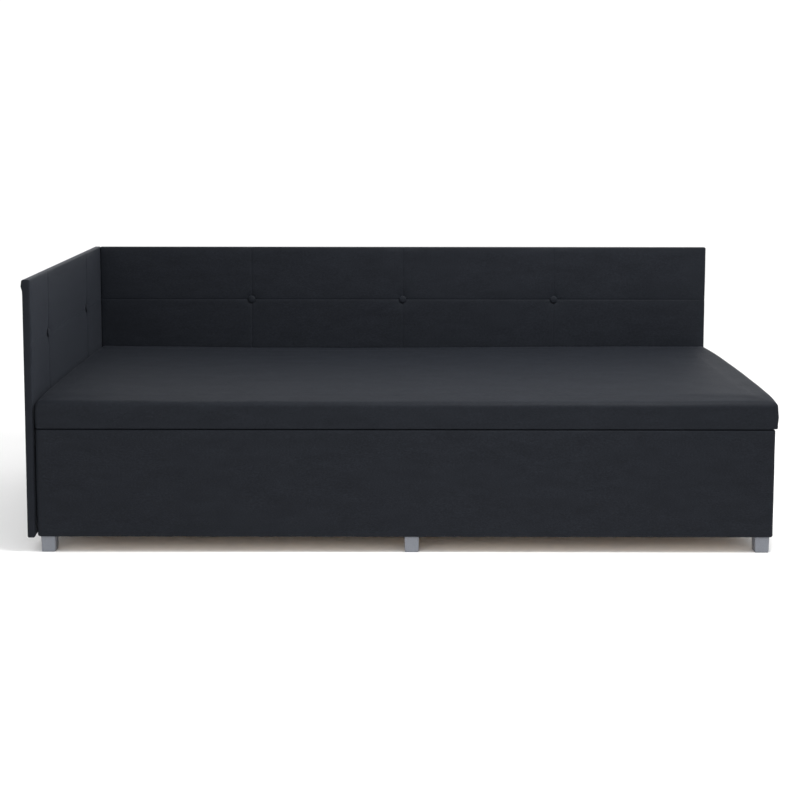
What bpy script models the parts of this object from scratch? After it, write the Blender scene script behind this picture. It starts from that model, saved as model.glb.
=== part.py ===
"""Daybed: an upholstered bedding box on six feet, a lift-up mattress lid, a long back panel and a side panel.

The mattress lid is hinged on a pair of four-bar lifts inside the box ends, each with a gas strut, so that
it rises, comes forward clear of the back panel and tilts to show the bedding box.

Construction axes: X runs along the box from its left end, Y runs back from its front face, Z is up from
the floor. The whole daybed hangs from one empty, which sets its footprint's centre on the world origin.
"""
import math

import bmesh
import bpy
from mathutils import Matrix, Vector

for thing in list(bpy.data.objects):
    bpy.data.objects.remove(thing)

# ---- Driving dimensions, metres -------------------------------------------------------------------
BOX_LENGTH = 2.000
BOX_DEPTH = 0.930
BOX_HEIGHT = 0.295
BOX_BOARD = 0.016
BOX_CORNER = 0.010           # plan radius of the covered box corners
SKIN = 0.0035                # fabric and wadding over the box boards
SKIN_UNDER = 0.018           # how far the box skin turns in under the boards
SKIN_INSIDE = 0.022          # how far it turns down inside the box
RIM_EASE = 0.002             # softened edge of the rim
HEM_EASE = 0.001             # softened edge along the bottom
MIN_CORNER = 0.0006          # least plan radius left on an inner corner

FOOT_HEIGHT = 0.045
FOOT_TOP = 0.040
FOOT_TIP = 0.037
FOOT_CORNER = 0.002
FOOT_EASE = 0.001            # softened edge on the floor
FOOT_INSET_SIDE = 0.008
FOOT_INSET_FRONT = 0.009
FOOT_MIDDLE_SHIFT = 0.018    # the middle feet stand this far right of the box centre
STUD_RADIUS = 0.004
STUD_LENGTH = 0.016

CLEAT_WIDTH = 0.040
CLEAT_HEIGHT = 0.022
FLOOR_THICKNESS = 0.005
CORNER_BLOCK = 0.034
CORNER_BLOCK_HEIGHT = 0.200

LID_GAP = 0.003              # shadow gap between box rim and lid
LID_REAR_ROOM = 0.028        # between the lid's rear edge and the rear of the box
LID_HEIGHT = 0.079
LID_CORNER = 0.012           # plan radius of the mattress corners
LID_EDGE = 0.026             # radius of the mattress's upper edge
LID_COVER = 0.0015
STAPLE_LAND = 0.005          # bare wood left inside the cover's turned-under edge
RAIL_HEIGHT = 0.040
SLAT_WIDTH = 0.045
SLAT_COUNT = 3
LID_BOARD = 0.004
DUST_CLOTH = 0.0008

PANEL_HEIGHT = 0.7025        # from the underside of the box to the top of the panels
PANEL_BOARD = 0.012
PANEL_FOAM = 0.0045
PANEL_COVER = 0.0015
PANEL_EDGE = 0.003
BACK_OVERHANG = 0.008        # the back panel runs on past the right end of the box
SIDE_SPACING = 0.006         # between the box end and the side panel
SEAM_HEIGHT = 0.573          # cross seam and buttons, above the floor
BACK_BUTTONS = 3
SIDE_BUTTON_FRONT = 0.206    # from the front edge to the first side button
SIDE_BUTTON_REAR = 0.216     # from the back panel's face to the second
BUTTON_RADIUS = 0.012
BUTTON_HEIGHT = 0.005        # low enough for the mattress to pass the side panel's buttons

# Lift: each pivot's distance in front of the rear of the box and below its rim, with the lid shut. The
# rear arm turns at its foot and carries the lid at its head; the front arm's head steers the lid, and
# the strut pushes on the front arm.
REAR_ARM_FOOT_AT = (0.2858, 0.0372)
REAR_ARM_HEAD_AT = (0.1593, 0.0100)
FRONT_ARM_FOOT_AT = (0.5263, 0.2000)
FRONT_ARM_HEAD_AT = (0.1956, 0.0577)
STRUT_FOOT_AT = (0.2577, 0.2500)
STRUT_HEAD_AT = (0.2757, 0.0911)

PLATE_THICKNESS = 0.003
PLATE_MARGIN = 0.013
ARM_THICKNESS = 0.004
ARM_MARGIN = 0.011
ARM_SIDE_PLAY = 0.002        # on each side of an arm, taken up by a shoulder on the pin
BRACKET_REACH = 0.030        # along the end rail, before and behind the bracket's pivots
PIN_RADIUS = 0.004
SHOULDER_RADIUS = 0.007
PIN_HEAD = 0.001
STRUT_TUBE_RADIUS = 0.009
STRUT_TUBE_WALL = 0.0015
STRUT_ROD_RADIUS = 0.004
STRUT_EYE_RADIUS = 0.008
STRUT_EYE_WIDTH = 0.010
STRUT_PISTON = 0.005
STRUT_ROD_SHOWN = 0.021      # from the tube's end to the head pivot with the lid shut
TUBE_EASE = 0.0015

BOLT_RADIUS = 0.003
BOLT_HEAD_RADIUS = 0.0075
BOLT_HEAD = 0.004
BOLT_HEIGHT = 0.220          # panel bolts, above the floor
BACK_BOLT_INSET = 0.350      # from each end of the box
SIDE_BOLT_FRONT = 0.150
SIDE_BOLT_REAR = 0.080

# ---- Clearances -----------------------------------------------------------------------------------
GAP = 0.0003                 # between pieces that touch
PIN_PLAY = 0.0003            # round a pin in its eye
OPEN_PIVOT_PLAY = 0.0012     # round the head pins of the front arm and the strut, the loose pivots
BOLT_PLAY = 0.0004
PISTON_PLAY = 0.0004

# ---- Levels and faces worked out from the sizes above ---------------------------------------------
BOX_TOP = FOOT_HEIGHT + BOX_HEIGHT
BOARD_IN = SKIN + GAP                            # outer face of a box board, in from the skin
INNER = BOARD_IN + BOX_BOARD                     # inner face of a box board
BOARD_BOTTOM = FOOT_HEIGHT + SKIN + GAP
BOARD_TOP = BOX_TOP - SKIN - GAP
FLOOR_BOTTOM = BOARD_BOTTOM + CLEAT_HEIGHT + GAP
FLOOR_TOP = FLOOR_BOTTOM + FLOOR_THICKNESS
LID_BOTTOM = BOX_TOP + LID_GAP
LID_TOP = LID_BOTTOM + LID_HEIGHT
LID_DEPTH = BOX_DEPTH - LID_REAR_ROOM
RAIL_BOTTOM = LID_BOTTOM + LID_COVER + GAP
RAIL_TOP = RAIL_BOTTOM + RAIL_HEIGHT
LID_BOARD_BOTTOM = RAIL_TOP + GAP
FOAM_BOTTOM = LID_BOARD_BOTTOM + LID_BOARD + GAP
PANEL_THICKNESS = PANEL_BOARD + PANEL_FOAM + 2 * PANEL_COVER + 3 * GAP
PANEL_TOP = FOOT_HEIGHT + PANEL_HEIGHT
BACK_FACE = BOX_DEPTH + GAP
BACK_REAR = BACK_FACE + PANEL_THICKNESS
BACK_LEFT = -SIDE_SPACING + GAP
BACK_RIGHT = BOX_LENGTH + BACK_OVERHANG
SIDE_FACE = -SIDE_SPACING
SIDE_OUTER = SIDE_FACE - PANEL_THICKNESS
PLATE_X = INNER + GAP
REAR_ARM_X = PLATE_X + PLATE_THICKNESS + ARM_SIDE_PLAY
BRACKET_X = REAR_ARM_X + ARM_THICKNESS + ARM_SIDE_PLAY
FRONT_ARM_X = BRACKET_X + PLATE_THICKNESS + ARM_SIDE_PLAY
STRUT_X = FRONT_ARM_X + ARM_THICKNESS + ARM_SIDE_PLAY + STRUT_TUBE_RADIUS
RAIL_IN = LID_COVER + GAP
RAIL_INNER = BRACKET_X - GAP                     # the lid brackets stand against the end rails
LID_TURN_UNDER = RAIL_INNER - STAPLE_LAND
SIDE_BUTTON_Y = (SIDE_BUTTON_FRONT, BACK_FACE - SIDE_BUTTON_REAR)
BACK_BOLT_X = (BACK_BOLT_INSET, BOX_LENGTH - BACK_BOLT_INSET)
SIDE_BOLT_Y = (SIDE_BOLT_FRONT, BOX_DEPTH - SIDE_BOLT_REAR)
REAR_ARM_FOOT, REAR_ARM_HEAD, FRONT_ARM_FOOT, FRONT_ARM_HEAD, STRUT_FOOT, STRUT_HEAD = (
    Vector((BOX_DEPTH - forward, BOX_TOP - down))
    for forward, down in (REAR_ARM_FOOT_AT, REAR_ARM_HEAD_AT, FRONT_ARM_FOOT_AT, FRONT_ARM_HEAD_AT,
                          STRUT_FOOT_AT, STRUT_HEAD_AT))
ROUND_STEPS = 16             # sides of a round piece
CORNER_STEPS = 5             # facets of a rounded corner


# ---- Making objects -------------------------------------------------------------------------------
def material(name, colour, roughness, metallic=0.0):
    made = bpy.data.materials.new(name)
    made.use_nodes = True
    shader = made.node_tree.nodes["Principled BSDF"]
    shader.inputs["Base Color"].default_value = (*colour, 1.0)
    shader.inputs["Roughness"].default_value = roughness
    shader.inputs["Metallic"].default_value = metallic
    return made


VELVET = material("graphite_velvet", (0.022, 0.025, 0.030), 0.85)
CHIPBOARD = material("chipboard", (0.42, 0.31, 0.20), 0.75)
PINE = material("pine_batten", (0.55, 0.38, 0.20), 0.70)
HARDBOARD = material("hardboard", (0.20, 0.12, 0.06), 0.65)
FOAM = material("foam", (0.75, 0.70, 0.55), 0.95)
DUST = material("dust_cloth", (0.03, 0.03, 0.03), 0.95)
PLASTIC = material("silver_plastic", (0.30, 0.32, 0.35), 0.45)
ZINC = material("zinc_steel", (0.55, 0.56, 0.58), 0.35, 1.0)
BLACK_STEEL = material("black_enamel", (0.015, 0.015, 0.016), 0.35, 0.0)
CHROME = material("chrome_rod", (0.80, 0.80, 0.82), 0.12, 1.0)


def empty(name, location, parent=None):
    """An empty at a place given along the construction axes; child empties keep that place."""
    pivot = bpy.data.objects.new(name, None)
    bpy.context.collection.objects.link(pivot)
    pivot.parent = parent
    pivot["place"] = list(location)
    origin = Vector(parent["place"]) if parent else Vector((0.0, 0.0, 0.0))
    pivot.location = Vector(location) - origin
    return pivot


def add(name, shape, finish, parent):
    """Turn a bmesh, drawn along the construction axes, into an object whose origin is its parent's."""
    bmesh.ops.recalc_face_normals(shape, faces=shape.faces)
    bmesh.ops.translate(shape, verts=shape.verts, vec=-Vector(parent["place"]))
    mesh = bpy.data.meshes.new(name)
    shape.to_mesh(mesh)
    shape.free()
    made = bpy.data.objects.new(name, mesh)
    bpy.context.collection.objects.link(made)
    made.parent = parent
    made.data.materials.append(finish)
    mesh.shade_smooth()
    mesh.set_sharp_from_angle(angle=math.radians(35))
    return made


def combine(target, shapes, operation):
    """Add shapes to a piece, or cut them from it. The tool objects are left out of the build."""
    for number, shape in enumerate(shapes):
        tool = add(f"{target.name}_{operation.lower()}_{number}", shape, target.data.materials[0],
                   target.parent)
        tool.hide_render = True
        tool.display_type = 'WIRE'
        step = target.modifiers.new(tool.name, 'BOOLEAN')
        step.operation = operation
        step.solver = 'EXACT'
        step.object = tool


# ---- Drawing shapes -------------------------------------------------------------------------------
def rounded_rectangle(x_span, y_span, radius):
    """Plan outline, anticlockwise, with the same count of points whatever its radius."""
    points = []
    corners = ((x_span[0], y_span[0], 180), (x_span[1], y_span[0], 270),
               (x_span[1], y_span[1], 0), (x_span[0], y_span[1], 90))
    for x, y, start in corners:
        centre_x = x + radius if x == x_span[0] else x - radius
        centre_y = y + radius if y == y_span[0] else y - radius
        for step in range(CORNER_STEPS + 1):
            angle = math.radians(start + 90 * step / CORNER_STEPS)
            points.append((centre_x + radius * math.cos(angle), centre_y + radius * math.sin(angle)))
    return points


def inset_section(x_span, y_span, corner, inset, z):
    """One level of a loft: the plan rectangle drawn in by an inset, its corner radius with it."""
    radius = max(corner - inset, MIN_CORNER)
    xs = (x_span[0] + inset, x_span[1] - inset)
    ys = (y_span[0] + inset, y_span[1] - inset)
    return [(x, y, z) for x, y in rounded_rectangle(xs, ys, radius)]


def loft(sections, ring=False):
    """Skin a row of outlines; the ends are capped, or joined to each other in a ring."""
    shape = bmesh.new()
    rows = [[shape.verts.new(point) for point in section] for section in sections]
    pairs = list(zip(rows, rows[1:]))
    if ring:
        pairs.append((rows[-1], rows[0]))
    else:
        shape.faces.new(rows[0])
        shape.faces.new(rows[-1])
    for lower, upper in pairs:
        for i in range(len(lower)):
            j = (i + 1) % len(lower)
            shape.faces.new((lower[i], lower[j], upper[j], upper[i]))
    return shape


def block(x_span, y_span, z_span):
    """A square-edged board or batten."""
    shape = bmesh.new()
    bmesh.ops.create_cube(shape, size=1.0)
    size = Vector((x_span[1] - x_span[0], y_span[1] - y_span[0], z_span[1] - z_span[0]))
    centre = Vector((sum(x_span), sum(y_span), sum(z_span))) / 2
    bmesh.ops.scale(shape, verts=shape.verts, vec=size)
    bmesh.ops.translate(shape, verts=shape.verts, vec=centre)
    return shape


def round_ended_board(x_span, y_span, z_span, radius, rounded_side):
    """A board standing on edge or lying flat, its two outer corners rounded in plan."""
    outline = []
    for x, y in rounded_rectangle(x_span, y_span, radius):
        outer = y < sum(y_span) / 2 if rounded_side == "front" else y > sum(y_span) / 2
        if outer:
            outline.append((x, y))
    inner_y = y_span[1] if rounded_side == "front" else y_span[0]
    square = [(x_span[1], inner_y), (x_span[0], inner_y)]
    if rounded_side == "rear":
        square.reverse()
    outline += square
    return loft([[(x, y, z) for x, y in outline] for z in z_span])


def rod(start, end, radius, steps=ROUND_STEPS):
    """A round bar between two points."""
    start = Vector(start)
    end = Vector(end)
    turn = Vector((0, 0, 1)).rotation_difference(end - start).to_matrix().to_4x4()
    shape = bmesh.new()
    bmesh.ops.create_cone(shape, cap_ends=True, segments=steps, radius1=radius, radius2=radius,
                          depth=(end - start).length,
                          matrix=Matrix.Translation((start + end) / 2) @ turn)
    return shape


def turned(profile, foot, direction, steps=ROUND_STEPS):
    """A solid turned about a line: the profile is (radius, distance along the line), and its two ends
    lie on the line."""
    turn = Vector((0, 0, 1)).rotation_difference(direction).to_matrix().to_4x4()
    place = Matrix.Translation(foot) @ turn
    shape = bmesh.new()
    rings = []
    for radius, along in profile:
        if radius == 0:
            rings.append([shape.verts.new(place @ Vector((0, 0, along)))])
            continue
        ring = []
        for i in range(steps):
            angle = 2 * math.pi * i / steps
            ring.append(shape.verts.new(place @ Vector((radius * math.cos(angle),
                                                        radius * math.sin(angle), along))))
        rings.append(ring)
    for lower, upper in zip(rings, rings[1:]):
        for i in range(steps):
            j = (i + 1) % steps
            if len(lower) == 1:
                shape.faces.new((lower[0], upper[j], upper[i]))
            elif len(upper) == 1:
                shape.faces.new((lower[i], lower[j], upper[0]))
            else:
                shape.faces.new((lower[i], lower[j], upper[j], upper[i]))
    return shape


def rounded_hull(points, margin, steps=6):
    """Outline that keeps a margin round each pivot; the pivots are given anticlockwise."""
    outline = []
    for i, point in enumerate(points):
        before = point - points[i - 1]
        after = points[(i + 1) % len(points)] - point
        start = math.atan2(-before.x, before.y)
        end = math.atan2(-after.x, after.y)
        if end < start:
            end += 2 * math.pi
        for step in range(steps + 1):
            angle = start + (end - start) * step / steps
            outline.append(point + margin * Vector((math.cos(angle), math.sin(angle))))
    return outline


def plate(outline, x_span):
    """A flat plate standing across the length of the bed, from its (Y, Z) outline."""
    return loft([[(x, point.x, point.y) for point in outline] for x in x_span])


# ---- Empties: the whole bed, and one on the axis of each joint -------------------------------------
bed = empty("daybed", ((BACK_RIGHT + SIDE_OUTER) / 2, BACK_REAR / 2, 0.0))
bed.location = (0.0, 0.0, 0.0)
rear_arm_axis = empty("rear_arm_axis", (BOX_LENGTH / 2, *REAR_ARM_FOOT), bed)
lid_axis = empty("lid_axis", (BOX_LENGTH / 2, *REAR_ARM_HEAD), rear_arm_axis)
front_arm_axis = empty("front_arm_axis", (BOX_LENGTH / 2, *FRONT_ARM_FOOT), bed)
strut_axis = empty("strut_axis", (BOX_LENGTH / 2, *STRUT_FOOT), bed)
strut_rod_axis = empty("strut_rod_axis", (BOX_LENGTH / 2, *STRUT_HEAD), strut_axis)


# ---- Bedding box ----------------------------------------------------------------------------------
def build_box_boards():
    xs = (BOARD_IN, BOX_LENGTH - BOARD_IN)
    zs = (BOARD_BOTTOM, BOARD_TOP)
    corner = BOX_CORNER - BOARD_IN
    front = round_ended_board(xs, (BOARD_IN, INNER), zs, corner, "front")
    add("box_front_board", front, CHIPBOARD, bed)
    rear_ys = (BOX_DEPTH - INNER, BOX_DEPTH - BOARD_IN)
    rear = add("box_rear_board", round_ended_board(xs, rear_ys, zs, corner, "rear"), CHIPBOARD, bed)
    ys = (INNER + GAP, BOX_DEPTH - INNER - GAP)
    left = add("box_left_board", block((BOARD_IN, INNER), ys, zs), CHIPBOARD, bed)
    add("box_right_board", block((BOX_LENGTH - INNER, BOX_LENGTH - BOARD_IN), ys, zs), CHIPBOARD, bed)
    return rear, left


def build_box_floor():
    """Two cleats and a middle batten carry the floor board, and the feet are screwed into them."""
    clear = INNER + GAP
    cleat_xs = (clear, BOX_LENGTH - clear)
    cleat_zs = (BOARD_BOTTOM, BOARD_BOTTOM + CLEAT_HEIGHT)
    front_ys = (clear, clear + CLEAT_WIDTH)
    rear_ys = (BOX_DEPTH - clear - CLEAT_WIDTH, BOX_DEPTH - clear)
    for name, ys in (("floor_cleat_front", front_ys), ("floor_cleat_rear", rear_ys)):
        cleat = add(name, block(cleat_xs, ys, cleat_zs), PINE, bed)
        studs = [rod((x, y, BOARD_BOTTOM - GAP), (x, y, FOOT_HEIGHT + STUD_LENGTH + GAP),
                     STUD_RADIUS + PIN_PLAY)
                 for x, y in foot_places() if ys[0] < y < ys[1]]
        combine(cleat, studs, 'DIFFERENCE')
    middle = BOX_LENGTH / 2
    batten_xs = (middle - CLEAT_WIDTH / 2, middle + CLEAT_WIDTH / 2)
    batten_ys = (front_ys[1] + GAP, rear_ys[0] - GAP)
    add("floor_batten", block(batten_xs, batten_ys, cleat_zs), PINE, bed)
    floor_ys = (clear, BOX_DEPTH - clear)
    add("box_floor", block(cleat_xs, floor_ys, (FLOOR_BOTTOM, FLOOR_TOP)), HARDBOARD, bed)


def build_corner_blocks():
    near = INNER + GAP
    zs = (FLOOR_TOP + GAP, FLOOR_TOP + GAP + CORNER_BLOCK_HEIGHT)
    lefts = {"left": near, "right": BOX_LENGTH - near - CORNER_BLOCK}
    fronts = {"front": near, "rear": BOX_DEPTH - near - CORNER_BLOCK}
    for end, x in lefts.items():
        for side, y in fronts.items():
            shape = block((x, x + CORNER_BLOCK), (y, y + CORNER_BLOCK), zs)
            add(f"corner_block_{side}_{end}", shape, PINE, bed)


def build_box_skin():
    """One band of padded fabric round the four boards, turned in under them and down inside."""
    low = FOOT_HEIGHT
    inside = INNER + GAP
    path = ((0.0, low + HEM_EASE), (0.0, BOX_TOP - RIM_EASE), (RIM_EASE, BOX_TOP),
            (inside + SKIN, BOX_TOP), (inside + SKIN, BOX_TOP - SKIN_INSIDE),
            (inside, BOX_TOP - SKIN_INSIDE), (inside, BOX_TOP - SKIN), (SKIN, BOX_TOP - SKIN),
            (SKIN, low + SKIN), (SKIN_UNDER, low + SKIN), (SKIN_UNDER, low), (HEM_EASE, low))
    sections = [inset_section((0, BOX_LENGTH), (0, BOX_DEPTH), BOX_CORNER, inset, z)
                for inset, z in path]
    return add("box_cover", loft(sections, ring=True), VELVET, bed)


def foot_places():
    """Centres of the six feet, (X, Y)."""
    half = FOOT_TOP / 2
    xs = (FOOT_INSET_SIDE + half, BOX_LENGTH / 2 + FOOT_MIDDLE_SHIFT, BOX_LENGTH - FOOT_INSET_SIDE - half)
    ys = (FOOT_INSET_FRONT + half, BOX_DEPTH - FOOT_INSET_FRONT - half)
    return [(x, y) for y in ys for x in xs]


def build_feet():
    """Square moulded feet, tapering down, each with a threaded stud for its cleat."""
    names = [f"foot_{side}_{place}" for side in ("front", "rear") for place in ("left", "middle", "right")]
    for name, (x, y) in zip(names, foot_places()):
        sections = []
        for half, z in ((FOOT_TIP / 2 - FOOT_EASE, 0.0), (FOOT_TIP / 2, FOOT_EASE),
                        (FOOT_TOP / 2, FOOT_HEIGHT - GAP)):
            outline = rounded_rectangle((x - half, x + half), (y - half, y + half), FOOT_CORNER)
            sections.append([(px, py, z) for px, py in outline])
        foot = add(name, loft(sections), PLASTIC, bed)
        stud = rod((x, y, FOOT_HEIGHT - STUD_RADIUS), (x, y, FOOT_HEIGHT + STUD_LENGTH), STUD_RADIUS)
        combine(foot, [stud], 'UNION')


# ---- Back and side panels -------------------------------------------------------------------------
def build_panel(name, x_span, y_span, facing):
    """A board with a sheet of foam on its facing side, in a fabric slip that is open at the bottom."""
    low = FOOT_HEIGHT
    edge = PANEL_EDGE
    wall = PANEL_COVER
    path = ((edge, PANEL_TOP), (edge * 0.3, PANEL_TOP - edge * 0.3), (0.0, PANEL_TOP - edge), (0.0, low),
            (wall, low), (wall, PANEL_TOP - edge), (edge, PANEL_TOP - wall))
    sections = [inset_section(x_span, y_span, edge, inset, z) for inset, z in path]
    cover = add(f"{name}_cover", loft(sections), VELVET, bed)
    inside = edge + GAP
    skin = PANEL_COVER + GAP
    zs = (low + GAP, PANEL_TOP - inside)
    near = skin + PANEL_FOAM
    if facing == "front":
        along = (x_span[0] + inside, x_span[1] - inside)
        foam_shape = block(along, (y_span[0] + skin, y_span[0] + near), zs)
        board_shape = block(along, (y_span[0] + near + GAP, y_span[1] - skin), zs)
    else:
        along = (y_span[0] + inside, y_span[1] - inside)
        foam_shape = block((x_span[1] - near, x_span[1] - skin), along, zs)
        board_shape = block((x_span[0] + skin, x_span[1] - near - GAP), along, zs)
    foam = add(f"{name}_foam", foam_shape, FOAM, bed)
    board = add(f"{name}_board", board_shape, CHIPBOARD, bed)
    return cover, foam, board


def build_button(name, place, facing):
    """A domed button, covered in the panel's fabric and pulled down on the seams' crossing."""
    height = BUTTON_HEIGHT
    profile = ((0, 0), (BUTTON_RADIUS * 0.85, 0), (BUTTON_RADIUS, height * 0.3),
               (BUTTON_RADIUS * 0.92, height * 0.62), (BUTTON_RADIUS * 0.6, height * 0.92), (0, height))
    place = Vector(place) + GAP * Vector(facing)
    add(name, turned(profile, place, Vector(facing)), VELVET, bed)


def build_bolt(name, head_face, direction, reach, pieces, spacer=None):
    """A panel bolt: its head inside the box, its shank through every layer up to the panel's board."""
    head = Vector(head_face)
    direction = Vector(direction)
    profile = [(0, -BOLT_HEAD), (BOLT_HEAD_RADIUS * 0.8, -BOLT_HEAD), (BOLT_HEAD_RADIUS, -BOLT_HEAD * 0.6),
               (BOLT_HEAD_RADIUS, 0), (BOLT_RADIUS, 0)]
    if spacer:
        profile += [(BOLT_RADIUS, spacer[0]), (BOLT_HEAD_RADIUS, spacer[0]), (BOLT_HEAD_RADIUS, spacer[1]),
                    (BOLT_RADIUS, spacer[1])]
    profile += [(BOLT_RADIUS, reach), (0, reach)]
    add(name, turned(profile, head - GAP * direction, direction), ZINC, bed)
    for piece in pieces:
        hole = rod(head - BOLT_HEAD * direction, head + (reach + BOLT_PLAY) * direction,
                   BOLT_RADIUS + BOLT_PLAY)
        combine(piece, [hole], 'DIFFERENCE')


def build_panels(rear_board, left_board, skin):
    back = build_panel("back", (BACK_LEFT, BACK_RIGHT), (BACK_FACE, BACK_REAR), "front")
    side = build_panel("side", (SIDE_OUTER, SIDE_FACE), (0.0, BACK_REAR), "right")
    spacing = (BACK_RIGHT - BACK_LEFT) / (BACK_BUTTONS + 1)
    for i in range(BACK_BUTTONS):
        place = (BACK_LEFT + spacing * (i + 1), BACK_FACE, SEAM_HEIGHT)
        build_button(f"back_button_{i + 1}", place, (0, -1, 0))
    for i, y in enumerate(SIDE_BUTTON_Y):
        build_button(f"side_button_{i + 1}", (SIDE_FACE, y, SEAM_HEIGHT), (1, 0, 0))
    reach = INNER + PANEL_THICKNESS - PANEL_COVER - 2 * GAP
    for i, x in enumerate(BACK_BOLT_X):
        build_bolt(f"back_bolt_{i + 1}", (x, BOX_DEPTH - INNER, BOLT_HEIGHT), (0, 1, 0), reach,
                   (rear_board, skin, *back))
    spacer = (INNER + 2 * GAP, INNER + SIDE_SPACING)
    for i, y in enumerate(SIDE_BOLT_Y):
        build_bolt(f"side_bolt_{i + 1}", (INNER, y, BOLT_HEIGHT), (-1, 0, 0), reach + SIDE_SPACING,
                   (left_board, skin, *side), spacer)


# ---- Mattress lid ---------------------------------------------------------------------------------
def build_lid_frame():
    xs = (RAIL_IN, BOX_LENGTH - RAIL_IN)
    zs = (RAIL_BOTTOM, RAIL_TOP)
    corner = LID_CORNER - RAIL_IN
    front = round_ended_board(xs, (RAIL_IN, RAIL_INNER), zs, corner, "front")
    rear = round_ended_board(xs, (LID_DEPTH - RAIL_INNER, LID_DEPTH - RAIL_IN), zs, corner, "rear")
    add("lid_rail_front", front, PINE, lid_axis)
    add("lid_rail_rear", rear, PINE, lid_axis)
    ys = (RAIL_INNER + GAP, LID_DEPTH - RAIL_INNER - GAP)
    add("lid_rail_left", block((RAIL_IN, RAIL_INNER), ys, zs), PINE, lid_axis)
    add("lid_rail_right", block((BOX_LENGTH - RAIL_INNER, BOX_LENGTH - RAIL_IN), ys, zs), PINE, lid_axis)
    for i in range(SLAT_COUNT):
        x = BOX_LENGTH * (i + 1) / (SLAT_COUNT + 1)
        shape = block((x - SLAT_WIDTH / 2, x + SLAT_WIDTH / 2), ys, zs)
        add(f"lid_slat_{i + 1}", shape, PINE, lid_axis)
    board_zs = (LID_BOARD_BOTTOM, LID_BOARD_BOTTOM + LID_BOARD)
    board_ys = (RAIL_IN, LID_DEPTH - RAIL_IN)
    sections = [[(x, y, z) for x, y in rounded_rectangle(xs, board_ys, corner)] for z in board_zs]
    add("lid_board", loft(sections), HARDBOARD, lid_axis)


def rounded_top(x_span, y_span, corner, edge, inset, top, low):
    """Sections of a block with a rounded upper edge, from its top face down to its lower edge."""
    radius = edge - inset
    sections = []
    for step in range(CORNER_STEPS + 1):
        angle = math.radians(90 * step / CORNER_STEPS)
        drawn_in = inset + radius * (1 - math.sin(angle))
        height = top - inset - radius * (1 - math.cos(angle))
        sections.append(inset_section(x_span, y_span, corner, drawn_in, height))
    sections.append(inset_section(x_span, y_span, corner, inset, low))
    return sections


def build_mattress():
    span = (0.0, BOX_LENGTH)
    depth = (0.0, LID_DEPTH)
    foam_inset = LID_COVER + GAP
    foam = loft(rounded_top(span, depth, LID_CORNER, LID_EDGE, foam_inset, LID_TOP, FOAM_BOTTOM))
    add("mattress_foam", foam, FOAM, lid_axis)
    outer = rounded_top(span, depth, LID_CORNER, LID_EDGE, 0.0, LID_TOP, LID_BOTTOM)
    inner = rounded_top(span, depth, LID_CORNER, LID_EDGE, LID_COVER, LID_TOP, LID_BOTTOM + LID_COVER)
    lip = [inset_section(span, depth, LID_CORNER, LID_TURN_UNDER, z)
           for z in (LID_BOTTOM, LID_BOTTOM + LID_COVER)]
    add("mattress_cover", loft(outer + lip + inner[::-1]), VELVET, lid_axis)
    cloth_xs = (BRACKET_X + PLATE_THICKNESS + GAP, BOX_LENGTH - BRACKET_X - PLATE_THICKNESS - GAP)
    cloth_ys = (LID_TURN_UNDER + GAP, LID_DEPTH - LID_TURN_UNDER - GAP)
    cloth_zs = (RAIL_BOTTOM - GAP - DUST_CLOTH, RAIL_BOTTOM - GAP)
    add("lid_dust_cloth", block(cloth_xs, cloth_ys, cloth_zs), DUST, lid_axis)


# ---- Lifts ----------------------------------------------------------------------------------------
def pin(pivot, marks, place_x):
    """A stepped pin across the bed: marks are (radius, X) from the plate outwards, X from the box end."""
    first = place_x(marks[0][1])
    way = 1 if place_x(marks[-1][1]) > first else -1
    profile = [(0, 0)]
    for radius, x in marks:
        profile.append((radius, abs(place_x(x) - first)))
    profile.append((0, profile[-1][1]))
    return turned(profile, Vector((first, *pivot)), Vector((way, 0, 0)))


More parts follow.
